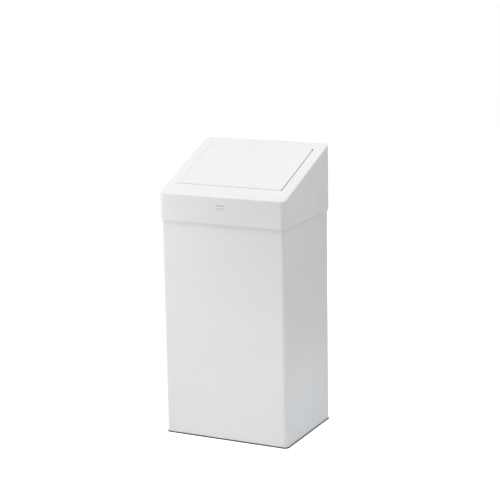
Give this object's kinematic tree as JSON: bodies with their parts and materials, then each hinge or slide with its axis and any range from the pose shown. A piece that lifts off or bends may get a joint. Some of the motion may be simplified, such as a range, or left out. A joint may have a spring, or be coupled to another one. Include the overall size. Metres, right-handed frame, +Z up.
{
  "type": "wastepaper bin",
  "caption": "Free-standing white wastepaper bin: tall rectangular steel body, lift-off moulded hood with a sloped top, and a sprung push flap over a bag frame.",
  "frame": {"origin": "on the floor, under the middle of the bin", "axes": "+X to the right along the front, +Y to the back (the flap faces -Y), +Z up"},
  "size_m": [0.3376, 0.264, 0.7038],
  "materials": {
    "body_paint": "satin white powder coat",
    "hood_plastic": "fine-grained white moulding",
    "flap_plastic": "fine-grained white moulding",
    "badge_plastic": "smooth pale grey",
    "ring_plastic": "matt black",
    "zinc_steel": "bright zinc plate",
    "rod_steel": "drawn steel",
    "clip_steel": "blackened spring steel",
    "spring_steel": "drawn spring wire",
    "buffer_rubber": "soft grey-black rubber"
  },
  "bodies": {
    "body": {"body_shell": "body_paint", "seam_strap": "body_paint", "bottom_pan": "body_paint", "floor_ring": "ring_plastic", "frame_bracket_left_front": "body_paint", "frame_bracket_left_rear": "body_paint", "frame_bracket_right_front": "body_paint", "frame_bracket_right_rear": "body_paint"},
    "bag_holder": {"bag_frame": "zinc_steel", "wire_sleeve": "zinc_steel"},
    "hood": {"hood": "hood_plastic", "badge_plate": "badge_plastic", "hinge_rod": "rod_steel", "rod_clip_left": "clip_steel", "rod_clip_right": "clip_steel", "return_spring_left": "spring_steel", "return_spring_right": "spring_steel"},
    "flap": {"flap": "flap_plastic", "stop_buffer_left": "buffer_rubber", "stop_buffer_right": "buffer_rubber"}
  },
  "joints": [
    {"name": "hood_lift", "type": "slide", "parent": "body", "child": "hood", "axis": [0, 0, 1], "range_m": [0, 0.15]},
    {"name": "flap_hinge", "type": "hinge", "parent": "hood", "child": "flap", "pos_m": [0, 0.09433, 0.68177], "axis": [1, 0, 0], "range_deg": [0, 70], "stiffness_Nm_per_rad": 0.25, "springref_deg": -80.21, "deforming": ["return_spring_left", "return_spring_right"]},
    {"name": "bag_frame_lift", "type": "slide", "parent": "body", "child": "bag_holder", "axis": [0, 0, 1], "range_m": [0, 0.02]}
  ]
}
